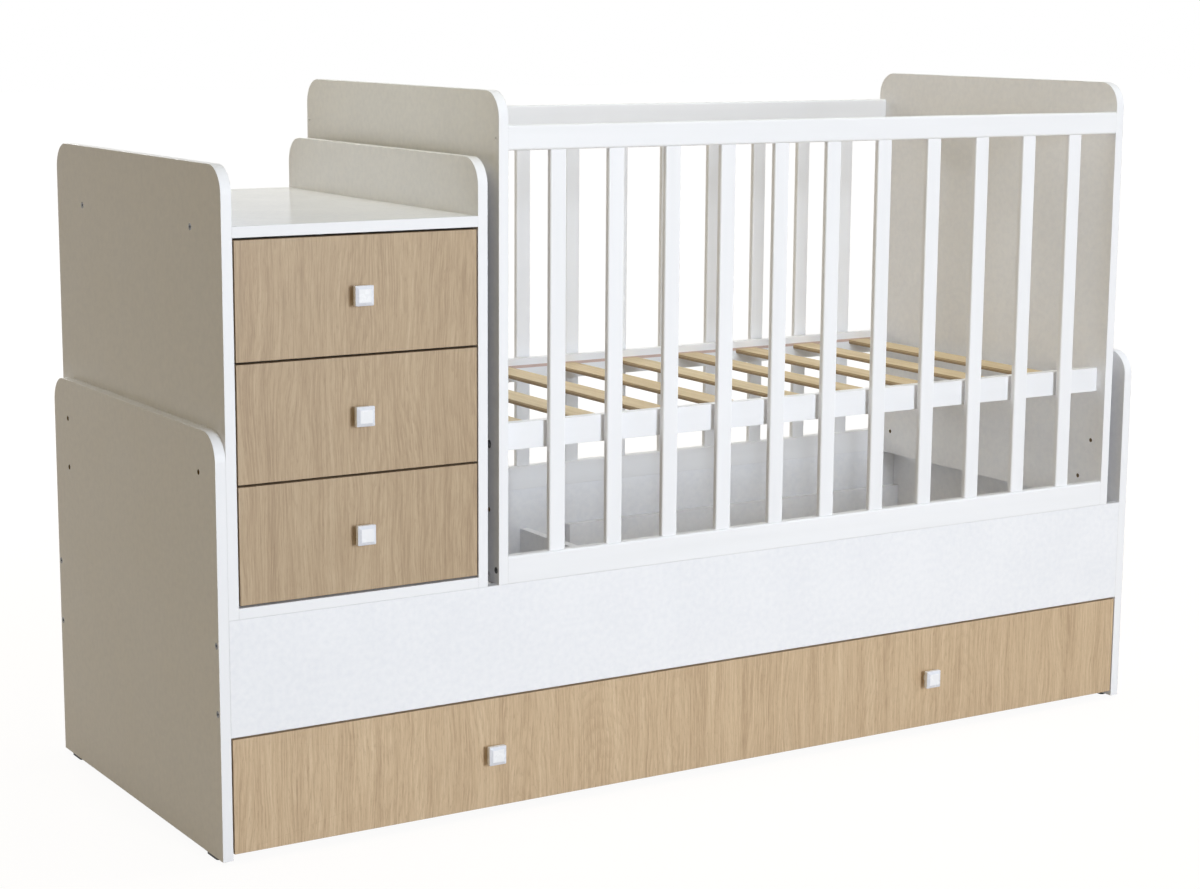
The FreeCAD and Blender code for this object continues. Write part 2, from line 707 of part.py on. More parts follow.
for half in (-1, 1):
    body, hole = knob_screw(half * low_front_half / 2, z_low_knob)
    low_screws.append(body)
    low_front_cuts.append(hole)
    low_knobs.append(knob(half * low_front_half / 2, z_low_knob))
save("low_drawer_knobs", *low_knobs)
low_sides = []
for x_face, x_wall, sense in zip(low_outside, low_inside, (1, -1)):
    side, socket = tongued(inward(x_face, sense, low_board), inward(x_wall, -sense, tongue_thickness),
                           (y_low_box, y_low_end), z_low_walls)
    low_sides.append(side.cut(low_cuts))
    low_front_cuts.append(socket)
save("low_drawer_sides", *low_sides)
divider, socket = tongued(around(0, low_board), around(0, tongue_thickness),
                          (y_low_box, y_low_end - low_board), z_low_walls)
save("low_drawer_divider", divider.cut(low_cuts))
low_front_cuts.append(socket)
low_front = block((-low_front_half, low_front_half), run(y_front, board), run(z_low_front, low_front_height))
save("low_drawer_front", low_front.cut(low_front_cuts))
z_low_back = z_low_bottom + low_bottom_thickness
low_back = block(low_inside, (y_low_end - low_board, y_low_end), (z_low_back, z_low_walls[1]))
save("low_drawer_back", low_back.cut(low_bores))

# Bearers under the long drawer's bottom and the castors screwed to them
z_plate = z_low_bottom - bearer_thickness
z_axle = wheel_radius
fork_half = wheel_width / 2 + hub_play
bearers = []
forks = []
plate_bores = []
castor_places = []
for half, side in ((-1, "left"), (1, "right")):
    x_wall = half * low_inside[1]
    x_bearer = inward(x_wall, -half, bearer_width)
    bearers.append(block(x_bearer, (y_low_box, y_low_end), run(z_plate, bearer_thickness)))
    for y, row in ((y_low_box + castor_inset, "front"), (y_low_end - castor_inset, "rear")):
        castor_places.append((row + "_" + side, x_wall - half * bearer_width / 2, y))


def castor_fork(x, y):
    """Folded fork: a plate under the bearer and two cheeks that taper to round ends."""
    spread = fork_half + fork_sheet
    rise = z_plate - fork_sheet - z_axle
    made = block(around(x, 2 * spread), around(y, fork_plate_length), (z_plate - fork_sheet, z_plate))
    for x_start in (x - spread, x + fork_half):
        at = lambda along, up: Vector(x_start, y + along, z_axle + up)
        rear, front = at(fork_cheek_radius, 0), at(-fork_cheek_radius, 0)
        high_front, high_rear = at(-fork_shoulder, rise), at(fork_shoulder, rise)
        edges = [line(front, high_front), line(high_front, high_rear), line(high_rear, rear),
                 arc(rear, at(0, -fork_cheek_radius), front)]
        made = made.fuse(Part.Face(Part.Wire(edges)).extrude(Vector(fork_sheet, 0, 0)))
    made = made.removeSplitter().cut(rod(axle_radius, Vector(x - spread - overrun, y, z_axle), ALONG_X,
                                         2 * (spread + overrun)))
    axle = turned([(-axle_head_height, 0), (-axle_head_height, axle_head_radius), (0, axle_head_radius),
                   (0, axle_radius), (2 * spread, axle_radius), (2 * spread, axle_head_radius),
                   (2 * spread + axle_head_height, axle_head_radius), (2 * spread + axle_head_height, 0)],
                  Vector(x - spread, y, z_axle), ALONG_X)
    return made, axle


def castor_wheel(x, y):
    """Moulded wheel: rounded tread, dished web and a hub bored for the axle."""
    half = wheel_width / 2
    bore = axle_radius + axle_run
    rim = wheel_radius - wheel_rim_wall
    web = half - wheel_web_depth
    place = Vector(x, y, z_axle)
    wheel = turned([(-half, bore), (-half, hub_radius), (-web, hub_radius), (-web, rim), (-half, rim),
                    (-half, wheel_radius), (half, wheel_radius), (half, rim), (web, rim), (web, hub_radius),
                    (half, hub_radius), (half, bore)], place, ALONG_X)
    tread = [edge for edge in wheel.Edges if edge.BoundBox.ZMax > z_axle + rim + wheel_edge_radius
             and edge.BoundBox.XLength < wheel_edge_radius]
    return wheel.makeFillet(wheel_edge_radius, tread)


for place, x, y in castor_places:
    fork, axle = castor_fork(x, y)
    bored = []
    for sense in (-1, 1):
        start = Vector(x, y + sense * (fork_plate_length / 2 - fork_screw_inset), z_plate - fork_sheet)
        body, hole = pan_screw(start, ALONG_Z)
        low_screws.append(body)
        bored.append(hole)
    forks += [fork.cut(bored), axle]
    plate_bores += bored
    save("castor_wheel_" + place, castor_wheel(x, y))
save("castor_forks", *forks)
save("low_drawer_bearers", *[bearer.cut(plate_bores) for bearer in bearers])
save("low_drawer_screws", *low_screws)
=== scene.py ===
import bpy
import math
from mathutils import Matrix, Vector


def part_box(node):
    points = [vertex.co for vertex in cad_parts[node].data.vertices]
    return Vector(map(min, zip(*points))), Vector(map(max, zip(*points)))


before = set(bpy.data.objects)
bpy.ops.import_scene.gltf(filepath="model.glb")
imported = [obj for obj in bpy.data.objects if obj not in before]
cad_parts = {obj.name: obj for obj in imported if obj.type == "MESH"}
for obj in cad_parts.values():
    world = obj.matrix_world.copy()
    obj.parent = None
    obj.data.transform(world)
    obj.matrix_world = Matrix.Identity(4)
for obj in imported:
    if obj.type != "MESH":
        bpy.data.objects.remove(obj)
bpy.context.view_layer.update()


# Foot panels: the two low end boards of the bed frame, cut from white laminated particle board.
# A smooth white band closes their rims, and the open bores show the raw chips of the core.
# Screws through these boards hold the aprons, and the later bed is bolted to the open bores.
def start_finish(name, **sockets):
    """A new finish and its shader, with the values that are the same all over the surface."""
    finish = bpy.data.materials.new(name)
    finish.use_nodes = True
    shader = finish.node_tree.nodes["Principled BSDF"]
    for socket, value in sockets.items():
        shader.inputs[socket.replace("_", " ")].default_value = value
    return finish, shader


def step(finish, kind, sockets, **settings):
    """One more node of a finish; a socket takes a value or the output of an earlier node."""
    made = finish.node_tree.nodes.new("ShaderNode" + kind)
    for setting, value in settings.items():
        setattr(made, setting, value)
    for socket, value in sockets.items():
        if isinstance(value, bpy.types.NodeSocket):
            finish.node_tree.links.new(value, made.inputs[socket])
        else:
            made.inputs[socket].default_value = value
    return made.outputs


def sums(finish, operation, first, second=0.0):
    """One step of reckoning with amounts."""
    return step(finish, "Math", {0: first, 1: second}, operation=operation)[0]


def tint(*rgb):
    """An opaque colour."""
    return (*rgb, 1.0)


def shades(finish, amount, *stops):
    """Colours along an amount from 0 to 1, as (place, colour) stops."""
    made = finish.node_tree.nodes.new("ShaderNodeValToRGB")
    ramp = made.color_ramp
    for element, (place, colour) in zip((ramp.elements[0], ramp.elements[1]), (stops[0], stops[-1])):
        element.position = place
        element.color = colour
    for place, colour in stops[1:-1]:
        ramp.elements.new(place).color = colour
    finish.node_tree.links.new(amount, made.inputs[0])
    return made.outputs["Color"]


def over(finish, amount, under, above):
    """One colour laid over another; amount is how much of it covers."""
    return step(finish, "MixRGB", {"Fac": amount, "Color1": under, "Color2": above})["Color"]


def between(finish, amount, low, high, start=0.0, end=1.0):
    """An amount carried from start..end to low..high."""
    return step(finish, "MapRange", {"Value": amount, "From Min": start, "From Max": end,
                                     "To Min": low, "To Max": high})["Result"]


def grain_noise(finish, place, size, stretch=(1.0, 1.0, 1.0), detail=3.0, distortion=0.0):
    """Noise whose grains are size metres wide and stretched along the axes."""
    scale = tuple(1.0 / (size * s) for s in stretch)
    shifted = step(finish, "Mapping", {"Vector": place, "Scale": scale})["Vector"]
    return step(finish, "TexNoise", {"Vector": shifted, "Scale": 1.0, "Detail": detail,
                                     "Distortion": distortion})[0]


def soft_rim(finish, radius):
    """The normal with rims rounded by radius, and how near a rim the surface is."""
    rounded = step(finish, "Bevel", {"Radius": radius}, samples=4)["Normal"]
    straight = step(finish, "NewGeometry", {})["Normal"]
    lean = step(finish, "VectorMath", {0: rounded, 1: straight}, operation="DOT_PRODUCT")["Value"]
    full_rim, no_rim = 0.72, 0.99
    return rounded, between(finish, lean, 1.0, 0.0, full_rim, no_rim)


def relief(finish, shader, height, depth, normal, strength=1.0):
    """Fine bumps of a given depth in metres on top of the rounded normal."""
    bump = step(finish, "Bump", {"Height": height, "Distance": depth, "Strength": strength, "Normal": normal})
    finish.node_tree.links.new(bump["Normal"], shader.inputs["Normal"])


def wire(finish, output, shader, socket):
    """Leads a finished colour or amount to the shader."""
    finish.node_tree.links.new(output, shader.inputs[socket])


def dress(node, finish):
    """Puts a finish on a CAD node."""
    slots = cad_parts[node].data.materials
    slots.clear()
    slots.append(finish)


PEARL_LIGHT = tint(0.878, 0.883, 0.906)
PEARL_DARK = tint(0.828, 0.837, 0.870)
BAND_WHITE = tint(0.870, 0.873, 0.892)
# The seam grey is painted shade, the colour of the shadow line along rims and seams.
SEAM_SHADE_GREY = tint(0.50, 0.49, 0.48)
CHIP_DARK = tint(0.20, 0.135, 0.075)
CHIP_LIGHT = tint(0.46, 0.34, 0.21)


def laminate(node, flat, bored=True, satin=0.32, shine=0.3, pressed=0.6, rim=0.0010):
    """White laminated board; flat is the axis across its thickness, and bored ones show raw chips in
    their bores. Satin is its roughness, shine how much it reflects, pressed the strength of its texture and
    rim the width of its rounded rims and of the grey seam shadow painted along them."""
    finish, shader = start_finish("white_laminate_" + node, Specular_IOR_Level=shine)
    low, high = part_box(node)
    place = step(finish, "TexCoord", {})
    cloud = grain_noise(finish, place["Object"], 0.009, detail=4.0)
    broad = grain_noise(finish, place["Object"], 0.11, detail=2.0)
    peel = grain_noise(finish, place["Object"], 0.0012, detail=2.0)
    facing = sums(finish, "ABSOLUTE", step(finish, "SeparateXYZ", {"Vector": place["Normal"]})[flat])
    face = sums(finish, "GREATER_THAN", facing, 0.5)
    at = step(finish, "SeparateXYZ", {"Vector": place["Object"]})
    core = sums(finish, "SUBTRACT", 1.0, face)
    rim_width = 0.014 if bored else 1.0
    for k, axis in enumerate("XYZ"):
        if axis != flat:
            off = sums(finish, "ABSOLUTE", sums(finish, "SUBTRACT", at[axis], (low[k] + high[k]) / 2))
            within = sums(finish, "LESS_THAN", off, max((high[k] - low[k]) / 2 - rim_width, 0.0))
            core = sums(finish, "MULTIPLY", core, within)
    mottle = sums(finish, "ADD", sums(finish, "MULTIPLY", cloud, 0.7), sums(finish, "MULTIPLY", broad, 0.3))
    pearl = shades(finish, mottle, (0.36, PEARL_DARK), (0.62, PEARL_LIGHT))
    skin = over(finish, face, BAND_WHITE, pearl)
    chip_grain = grain_noise(finish, place["Object"], 0.0016, detail=5.0)
    chips = shades(finish, chip_grain, (0.32, CHIP_DARK), (0.68, CHIP_LIGHT))
    rounded, near_rim = soft_rim(finish, rim)
    board = over(finish, core, skin, chips)
    # Painted shade: a grey line along every rim stands in for the shadow in the seams between boards.
    seam_shaded = over(finish, sums(finish, "MULTIPLY", near_rim, 0.40), board, SEAM_SHADE_GREY)
    wire(finish, seam_shaded, shader, "Base Color")
    gloss = between(finish, broad, satin - 0.05, satin + 0.07)
    wire(finish, sums(finish, "MAXIMUM", gloss, sums(finish, "MULTIPLY", core, 0.9)), shader, "Roughness")
    height = over(finish, core, sums(finish, "MULTIPLY", peel, face), chip_grain)
    relief(finish, shader, height, 0.00012, rounded, pressed)
    dress(node, finish)


for foot in ("left_foot_panel", "right_foot_panel"):
    laminate(foot, "X")


# Floor glides: round-ended pads of black plastic, moulded in one piece and pinned under each foot panel.
# Their sides keep the fine matt texture of the mould, and the rims are rubbed paler by the floor.
def glide_finish():
    finish, shader = start_finish("black_glide_plastic", Specular_IOR_Level=0.4)
    place = step(finish, "TexCoord", {})["Object"]
    mould = grain_noise(finish, place, 0.0007, detail=2.0)
    scuff = grain_noise(finish, place, 0.004, detail=4.0)
    rounded, near_rim = soft_rim(finish, 0.0008)
    rubbed = sums(finish, "MULTIPLY", near_rim, scuff)
    wire(finish, shades(finish, rubbed, (0.15, tint(0.018, 0.018, 0.020)), (0.7, tint(0.10, 0.10, 0.10))),
         shader, "Base Color")
    wire(finish, between(finish, scuff, 0.45, 0.7), shader, "Roughness")
    relief(finish, shader, mould, 0.0001, rounded, 0.5)
    return finish


dress("floor_glides", glide_finish())

# Aprons, cross board, battens and stop blocks: strips of the same white laminate, sawn and banded.
# The aprons are screwed between the foot panels, the cross board and battens carry the later bed base,
# and the stop blocks are screwed to the foot panels behind the long drawer's front.
for apron in ("front_apron", "back_apron"):
    # The aprons get a wider painted seam shadow along their rims.
    laminate(apron, "Y", rim=0.0020)
for strip in ("cross_board", "low_drawer_stops"):
    laminate(strip, "X")
laminate("bed_battens", "Y", bored=False)


# Brackets and screws: pressed and turned steel with a thin bright zinc plating.
# The plating is cloudy with faint drawn lines, and rims are worn a little brighter.
# Sunk screws and confirmat screws pull the boards together, brackets hold the standing boards down.
def zinc(name, pale=0.62, dull=0.44, caps_above=None):
    """Plated steel; screw heads higher than caps_above lie under stuck-on caps of white laminate."""
    finish, shader = start_finish(name, Metallic=1.0)
    place = step(finish, "TexCoord", {})["Object"]
    cloud = grain_noise(finish, place, 0.004, detail=4.0)
    drawn = grain_noise(finish, place, 0.0004, stretch=(1.0, 12.0, 12.0), detail=2.0)
    rounded, near_rim = soft_rim(finish, 0.0004)
    plating = shades(finish, cloud, (0.3, tint(dull, dull, dull * 1.03)),
                     (0.55, tint(pale, pale, pale * 1.01)), (0.8, tint(pale * 1.02, pale, pale * 0.93)))
    colour = over(finish, sums(finish, "MULTIPLY", near_rim, 0.5), plating, tint(0.78, 0.78, 0.78))
    if caps_above:
        height = step(finish, "SeparateXYZ", {"Vector": place})["Z"]
        capped = sums(finish, "GREATER_THAN", height, caps_above)
        colour = over(finish, capped, colour, shades(finish, cloud, (0.36, PEARL_DARK), (0.62, PEARL_LIGHT)))
        wire(finish, sums(finish, "SUBTRACT", 1.0, capped), shader, "Metallic")
    wire(finish, colour, shader, "Base Color")
    wire(finish, between(finish, cloud, 0.28, 0.48), shader, "Roughness")
    relief(finish, shader, drawn, 0.00005, rounded, 0.5)
    return finish


bright_zinc = zinc("bright_zinc")
dress("frame_brackets", bright_zinc)
dark_zinc = zinc("dark_zinc", pale=0.16, dull=0.09)
dress("frame_wood_screws", dark_zinc)
top_rail_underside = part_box("front_side_top_rail")[0].z
dress("confirmat_screws", zinc("capped_dark_zinc", pale=0.16, dull=0.09, caps_above=top_rail_underside))

# Crib ends: the two tall boards of the crib, of the same banded laminate, standing on the aprons.
# Three rows of bores take the bolts of the slatted base, and lower bores link the later furniture.
for end in ("left_crib_end", "right_crib_end"):
    laminate(end, "X")


# Slatted sides: beech rails with eleven tenoned slats each, sprayed with white satin lacquer.
# The wood's grain shows as a faint relief under the lacquer, and a grey shade is painted along the rims.
# Screws through the crib ends hold both rails, so the sides stay put.
def lacquered_beech(node, along, rim=0.0006, masked=None):
    """White lacquer on beech whose grain runs along an axis; rim is the width of its rounded rims and of the
    grey shade painted along them, and masked the heights between which a line of pink wood stays bare on the
    faces that look to the crib's middle."""
    finish, shader = start_finish("white_lacquer_" + node, Coat_Weight=0.10, Coat_Roughness=0.22)
    texture = step(finish, "TexCoord", {})
    place = texture["Object"]
    stretch = tuple(18.0 if axis == along else 1.0 for axis in "XYZ")
    fibre = grain_noise(finish, place, 0.0011, stretch, detail=4.0, distortion=0.3)
    cloud = grain_noise(finish, place, 0.03, stretch, detail=2.0)
    spray = grain_noise(finish, place, 0.0016, detail=1.0)
    rounded, near_rim = soft_rim(finish, rim)
    coat = shades(finish, cloud, (0.3, tint(0.845, 0.848, 0.865)), (0.7, tint(0.875, 0.878, 0.897)))
    # Painted shade: a grey line along the rims stands in for the shadow at edges and seams.
    colour = over(finish, sums(finish, "MULTIPLY", near_rim, 0.30), coat, tint(0.62, 0.60, 0.57))
    if masked:
        at = step(finish, "SeparateXYZ", {"Vector": place})
        facing = step(finish, "SeparateXYZ", {"Vector": texture["Normal"]})["Y"]
        inward = sums(finish, "LESS_THAN", sums(finish, "MULTIPLY", facing, at["Y"]), -0.01)
        height = sums(finish, "COMPARE", at["Z"], sum(masked) / 2)
        height.node.inputs[2].default_value = (masked[1] - masked[0]) / 2
        line = sums(finish, "MULTIPLY", height, inward)
        pink_beech = shades(finish, fibre, (0.3, tint(0.42, 0.23, 0.17)), (0.7, tint(0.60, 0.37, 0.28)))
        colour = over(finish, sums(finish, "MULTIPLY", line, 0.75), colour, pink_beech)
    wire(finish, colour, shader, "Base Color")
    wire(finish, between(finish, spray, 0.30, 0.42), shader, "Roughness")
    height = sums(finish, "ADD", sums(finish, "MULTIPLY", fibre, 0.7), sums(finish, "MULTIPLY", spray, 0.3))
    relief(finish, shader, height, 0.00010, rounded, 0.5)
    dress(node, finish)


for side in ("front_side", "back_side"):
    lacquered_beech(side + "_top_rail", "X")
    # The bottom rails get a wider painted shade, the shadow line of their seam with the apron.
    lacquered_beech(side + "_bottom_rail", "X", rim=0.0016)
    lacquered_beech(side + "_slats", "Z")


# Slatted base: nine birch slats, glued up from thin layers and left bare, with tenons in two white rails.
# Each slat is cut from another board, so tone and grain change, and the layers show along its edges, with
# painted shade darkening their lowest few millimetres.
# Bolts with barrel nuts hold the rails between the crib ends at the upper of three heights.
def bare_birch(node):
    finish, shader = start_finish("bare_birch", Specular_IOR_Level=0.35)
    texture = step(finish, "TexCoord", {})
    place = texture["Object"]
    low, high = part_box(node)
    slat_count = 9
    slat_width = 0.048
    pitch = (high[0] - low[0] - slat_width) / (slat_count - 1)
    at = step(finish, "SeparateXYZ", {"Vector": place})
    from_left = sums(finish, "SUBTRACT", at["X"], low[0] - pitch / 4)
    number = sums(finish, "FLOOR", sums(finish, "DIVIDE", from_left, pitch))
    plank = step(finish, "TexWhiteNoise", {"W": number}, noise_dimensions="1D")["Value"]
    moved = step(finish, "CombineXYZ", {"X": at["X"], "Y": sums(finish, "ADD", at["Y"], plank),
                                        "Z": sums(finish, "MULTIPLY", plank, 3.0)})["Vector"]
    rings = grain_noise(finish, moved, 0.011, (1.0, 26.0, 1.0), detail=3.0, distortion=0.6)
    fibre = grain_noise(finish, moved, 0.0012, (1.0, 30.0, 1.0), detail=4.0)
    fleck = grain_noise(finish, moved, 0.0008, (1.0, 14.0, 1.0), detail=1.0)
    figure = sums(finish, "ADD", sums(finish, "MULTIPLY", rings, 0.65), sums(finish, "MULTIPLY", fibre, 0.35))
    wood = shades(finish, figure, (0.30, tint(0.52, 0.40, 0.235)), (0.50, tint(0.65, 0.525, 0.335)),
                  (0.72, tint(0.73, 0.615, 0.425)))
    tone = over(finish, between(finish, plank, 0.0, 0.18), wood, tint(0.50, 0.33, 0.16))
    dark_fleck = between(finish, fleck, 0.0, 0.35, 0.66, 0.78)
    flecked = over(finish, dark_fleck, tone, tint(0.32, 0.20, 0.09))
    layer_pair = 0.0026
    shade_start, shade_end = low[2] + 0.001, low[2] + 0.0045
    sideways = step(finish, "SeparateXYZ", {"Vector": texture["Normal"]})["X"]
    edge = sums(finish, "GREATER_THAN", sums(finish, "ABSOLUTE", sideways), 0.7)
    wave = sums(finish, "SINE", sums(finish, "MULTIPLY", at["Z"], 2 * math.pi / layer_pair))
    layers = shades(finish, between(finish, wave, 0.0, 1.0, -1.0, 1.0), (0.35, tint(0.40, 0.28, 0.15)),
                    (0.65, tint(0.60, 0.46, 0.275)))
    # Painted shade: the layers darken towards the lower rim of each edge.
    lower_edge_shade = between(finish, at["Z"], 0.75, 0.0, shade_start, shade_end)
    shade_darkened_layers = over(finish, lower_edge_shade, layers, tint(0.25, 0.155, 0.08))
    layered = over(finish, edge, flecked, shade_darkened_layers)
    rounded, near_rim = soft_rim(finish, 0.0007)
    worn = over(finish, sums(finish, "MULTIPLY", near_rim, 0.25), layered, tint(0.78, 0.64, 0.42))
    wire(finish, worn, shader, "Base Color")
    wire(finish, between(finish, fibre, 0.52, 0.72), shader, "Roughness")
    relief(finish, shader, fibre, 0.00018, rounded, 0.6)
    dress(node, finish)


bare_birch("bed_base_slats")
slat_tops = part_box("bed_base_slats")[1].z
bare_below, bare_above = 0.003, 0.002
lacquered_beech("bed_base_rails", "X", masked=(slat_tops - bare_below, slat_tops + bare_above))
dress("bed_base_connectors", dark_zinc)

# Chest: two sides, a bottom and the changing top, screwed together from the banded white laminate.
# The sides stand up past the top and form the rims of the changing tray, whose board is smooth and dull.
for wall, thin in (("chest_left_side", "X"), ("chest_right_side", "X"), ("chest_bottom", "Z")):
    laminate(wall, thin)
laminate("changing_top", "Z", satin=0.12, shine=0.003, pressed=0.15)


# Chest back: a thin hardboard sheet slid into grooves, painted white on the inside only.
# Its rear keeps the brown fibres and the print of the wire screen that it was pressed on.
def hardboard(node, axis, sense):
    """White on the face that looks along axis in the given sense, bare fibre elsewhere."""
    finish, shader = start_finish("hardboard_" + node, Specular_IOR_Level=0.35)
    place = step(finish, "TexCoord", {})
    facing = sums(finish, "MULTIPLY", step(finish, "SeparateXYZ", {"Vector": place["Normal"]})[axis], sense)
    painted = sums(finish, "GREATER_THAN", facing, 0.5)
    fibre = grain_noise(finish, place["Object"], 0.0022, detail=5.0, distortion=1.2)
    cloud = grain_noise(finish, place["Object"], 0.05, detail=3.0)
    screen_pitch = 0.0016
    at = step(finish, "SeparateXYZ", {"Vector": place["Object"]})
    mesh = None
    for k in "XYZ":
        if k != axis:
            wave = sums(finish, "SINE", sums(finish, "MULTIPLY", at[k], 2 * math.pi / screen_pitch))
            mesh = wave if mesh is None else sums(finish, "MULTIPLY", mesh, wave)
    blotch = sums(finish, "ADD", sums(finish, "MULTIPLY", fibre, 0.6), sums(finish, "MULTIPLY", cloud, 0.4))
    brown = shades(finish, blotch, (0.30, tint(0.15, 0.085, 0.042)), (0.55, tint(0.25, 0.155, 0.080)),
                   (0.75, tint(0.35, 0.235, 0.13)))
    paint = shades(finish, cloud, (0.3, tint(0.80, 0.80, 0.79)), (0.7, tint(0.85, 0.85, 0.84)))
    wire(finish, over(finish, painted, brown, paint), shader, "Base Color")
    wire(finish, between(finish, painted, 0.82, 0.42), shader, "Roughness")
    rough_side = sums(finish, "ADD", sums(finish, "MULTIPLY", mesh, 0.35), fibre)
    height = over(finish, painted, rough_side, sums(finish, "MULTIPLY", fibre, 0.15))
    rounded = soft_rim(finish, 0.0003)[0]
    relief(finish, shader, height, 0.00016, rounded, 0.7)
    dress(node, finish)


hardboard("chest_back_panel", "Y", -1.0)


# Drawer guides: white plastic strips, extruded, screwed flat to the insides of the chest.
# Fine die lines run along them, and the running faces are polished by the drawers.
def extruded_plastic(node):
    finish, shader = start_finish("white_guide_plastic", Coat_Weight=0.05)
    place = step(finish, "TexCoord", {})["Object"]
    die = grain_noise(finish, place, 0.0006, (1.0, 60.0, 1.0), detail=2.0)
    polish = grain_noise(finish, place, 0.02, (1.0, 6.0, 1.0), detail=2.0)
    rounded, near_rim = soft_rim(finish, 0.0006)
    white = shades(finish, polish, (0.3, tint(0.72, 0.72, 0.69)), (0.7, tint(0.80, 0.80, 0.78)))
    rimmed = over(finish, sums(finish, "MULTIPLY", near_rim, 0.3), white, tint(0.88, 0.88, 0.87))
    wire(finish, rimmed, shader, "Base Color")
    wire(finish, between(finish, polish, 0.28, 0.45), shader, "Roughness")
    relief(finish, shader, die, 0.00008, rounded, 0.6)
    dress(node, finish)


extruded_plastic("drawer_guides")
dress("guide_screws", bright_zinc)


# Chest drawers: oak-grain fronts over boxes of white laminate with hardboard bottoms in grooves.
# The decor is printed as strips of flat-sawn oak: upright grain, arches of the rings and short pressed pores.
# Each front's sides are tongued into it, and its box runs on the guides.
OAK_SHADOW = tint(0.345, 0.236, 0.140)
OAK_MIDDLE = tint(0.505, 0.373, 0.234)
OAK_PALE = tint(0.592, 0.455, 0.300)
OAK_PORE = tint(0.235, 0.148, 0.078)


def oak_rings(finish, at, wander, fuzz):
    """How near a dark ring line the wood is. Each strip of the decor is a board sawn past the middle of
    another log, whose rings are circles about a leaning axis, so they show as upright lines and arches."""
    strip_width = 0.135
    ring_width = 0.0066
    steepest_lean = 0.30
    log_wander = 0.055
    strip = sums(finish, "FLOOR", sums(finish, "DIVIDE", at["X"], strip_width))
    luck = step(finish, "TexWhiteNoise", {"W": strip}, noise_dimensions="1D")["Color"]
    chance = step(finish, "SeparateXYZ", {"Vector": luck})
    middle = sums(finish, "MULTIPLY", sums(finish, "ADD", strip, between(finish, chance["X"], 0.25, 0.75)),
                  strip_width)
    aside = sums(finish, "ADD", sums(finish, "SUBTRACT", at["X"], middle),
                 between(finish, wander, -log_wander / 2, log_wander / 2))
    lean = between(finish, chance["Z"], -steepest_lean, steepest_lean)
    start_depth = between(finish, chance["Y"], -0.08, 0.10)
    depth = sums(finish, "ADD", sums(finish, "MULTIPLY", lean, at["Z"]), start_depth)
    radius = sums(finish, "SQRT", sums(finish, "ADD", sums(finish, "MULTIPLY", aside, aside),
                                       sums(finish, "MULTIPLY", depth, depth)))
    ring = sums(finish, "FRACT", sums(finish, "ADD", sums(finish, "DIVIDE", radius, ring_width),
                                      sums(finish, "MULTIPLY", fuzz, 1.4)))
    return between(finish, ring, 1.0, 0.0, 0.0, 0.6), chance["Y"]


def oak_decor(node, tone):
    """Printed oak; tone is how pale this front came out of the press."""
    finish, shader = start_finish("oak_decor_" + node, Coat_Weight=0.03, Coat_Roughness=0.4)
    place = step(finish, "TexCoord", {})["Object"]
    upright = (1.0, 1.0, 40.0)
    sway = grain_noise(finish, place, 0.07, (1.0, 1.0, 3.5), detail=2.0)
    at = step(finish, "SeparateXYZ", {"Vector": place})
    swayed = sums(finish, "ADD", at["X"], sums(finish, "MULTIPLY", sway, 0.032))
    bent = step(finish, "CombineXYZ", {"X": swayed, "Y": at["Y"], "Z": at["Z"]})["Vector"]
    bands = grain_noise(finish, bent, 0.020, upright, detail=3.0)
    lines = grain_noise(finish, bent, 0.0024, upright, detail=4.0)
    fine = grain_noise(finish, bent, 0.0010, (1.0, 1.0, 26.0), detail=2.0)
    ring_line, strip_chance = oak_rings(finish, at, sway, lines)
    thin = sums(finish, "ADD", sums(finish, "MULTIPLY", lines, 0.44), sums(finish, "MULTIPLY", fine, 0.26))
    figure = sums(finish, "ADD", sums(finish, "MULTIPLY", bands, 0.30), thin)
    dark, middle, pale = (tint(*(tone * part for part in shade[:3]))
                          for shade in (OAK_SHADOW, OAK_MIDDLE, OAK_PALE))
    wood = shades(finish, figure, (0.34, dark), (0.50, middle), (0.64, pale))
    stripped = over(finish, between(finish, strip_chance, 0.0, 0.14), wood, dark)
    patch = between(finish, grain_noise(finish, bent, 0.05, (1.0, 1.0, 5.0)), 0.06, 0.34, 0.35, 0.65)
    arched = over(finish, sums(finish, "MULTIPLY", ring_line, patch), stripped, dark)
    short = grain_noise(finish, bent, 0.0008, (1.0, 1.0, 13.0), detail=1.0)
    pore = sums(finish, "MULTIPLY", between(finish, short, 0.0, 1.0, 0.58, 0.68),
                between(finish, ring_line, 0.45, 1.0))
    pored = over(finish, sums(finish, "MULTIPLY", pore, 0.38), arched, OAK_PORE)
    rounded, near_rim = soft_rim(finish, 0.0010)
    rimmed = over(finish, sums(finish, "MULTIPLY", near_rim, 0.45), pored, OAK_PORE)
    wire(finish, rimmed, shader, "Base Color")
    wire(finish, between(finish, lines, 0.40, 0.56), shader, "Roughness")
    pressed = sums(finish, "SUBTRACT", sums(finish, "MULTIPLY", lines, 0.4), pore)
    relief(finish, shader, pressed, 0.00008, rounded, 0.6)
    dress(node, finish)


drawers = ("drawer_1", "drawer_2", "drawer_3")
chest_front_tone = 0.88
for drawer in drawers:
    oak_decor(drawer + "_front", chest_front_tone)
    laminate(drawer + "_sides", "X")
    laminate(drawer + "_back", "Y")
    hardboard(drawer + "_bottom", "Z", 1.0)
    dress(drawer + "_screws", bright_zinc)
